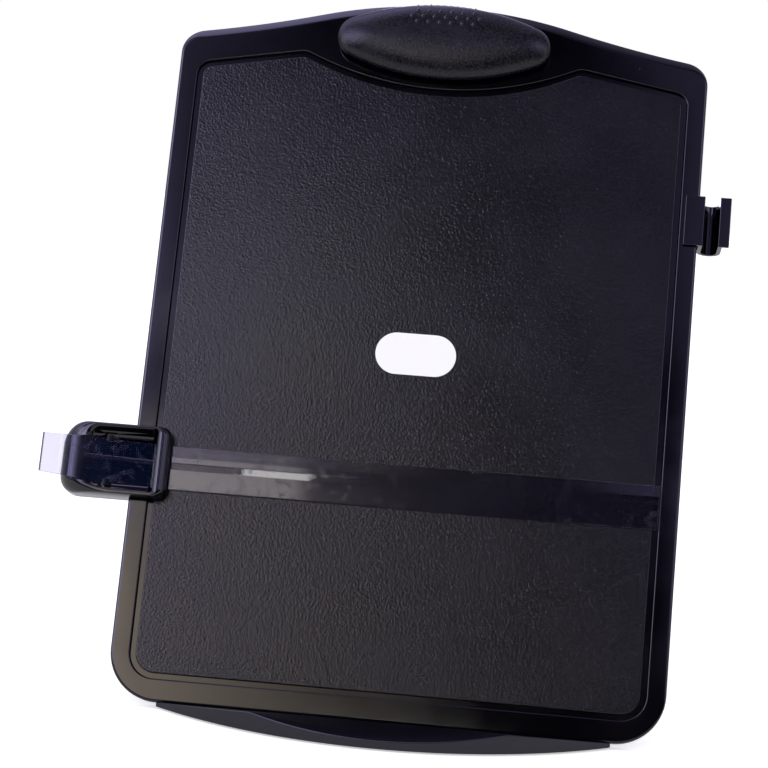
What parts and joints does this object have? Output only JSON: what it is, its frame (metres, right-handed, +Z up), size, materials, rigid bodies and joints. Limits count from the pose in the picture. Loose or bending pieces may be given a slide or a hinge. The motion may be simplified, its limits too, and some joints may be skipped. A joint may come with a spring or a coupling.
{
  "type": "copy holder",
  "caption": "Freestanding easel copy holder for letter paper, with a sprung page clip, a clear line guide on a sliding carriage, a pen clip, a paper shelf and a folding leg.",
  "frame": {"origin": "centre of the middle front foot's underside, on the desk", "axes": "+Z up, +X to the reader's right, -Y towards the reader; the board leans back 20 degrees about X"},
  "size_m": [0.3112, 0.2162, 0.3287],
  "materials": {
    "gloss_shell": "moulded, high gloss",
    "pebbled_panel": "fine pebbled texture",
    "label_white": "satin printed film, blank",
    "shelf_shell": "moulded, satin gloss",
    "clear_guide": "clear, faint violet tint, polished",
    "inner_plastic": "moulded, fine matte",
    "soft_pad": "soft, matte",
    "foot_rubber": "matte",
    "felt": "pressed felt",
    "steel": "plated, satin"
  },
  "bodies": {
    "stand": {"frame": "gloss_shell", "panel": "pebbled_panel", "label": "label_white", "shelf": "shelf_shell", "shelf_screws": "steel", "shelf_feet": "foot_rubber", "clip_bracket": "inner_plastic", "clip_screws": "steel", "clip_pin": "steel", "clip_spring": "steel", "leg_bracket": "inner_plastic", "bracket_screws": "steel", "leg_pin": "steel"},
    "clip": {"clip_lever": "gloss_shell", "clip_jaw_pad": "soft_pad"},
    "carriage": {"carriage_front": "gloss_shell", "carriage_back": "gloss_shell", "carriage_screws": "steel", "carriage_glide_pad": "felt", "line_guide": "clear_guide"},
    "pen_clip": {"pen_clip": "gloss_shell"},
    "leg": {"leg": "inner_plastic", "leg_foot": "foot_rubber"}
  },
  "joints": [
    {"name": "carriage_slide", "type": "slide", "parent": "stand", "child": "carriage", "axis": [0, 0.342, 0.9397], "range_m": [-0.062, 0.176]},
    {"name": "clip_hinge", "type": "hinge", "parent": "stand", "child": "clip", "pos_m": [0, 0.12889, 0.31206], "axis": [-1, 0, 0], "range_deg": [0, 12], "stiffness_Nm_per_rad": 0.6, "springref_deg": -20.05},
    {"name": "leg_hinge", "type": "hinge", "parent": "stand", "child": "leg", "pos_m": [0, 0.09636, 0.173], "axis": [-1, 0, 0], "range_deg": [0, 51]},
    {"name": "pen_clip_slide", "type": "slide", "parent": "stand", "child": "pen_clip", "axis": [0, 0.342, 0.9397], "range_m": [-0.2, 0.048]}
  ]
}
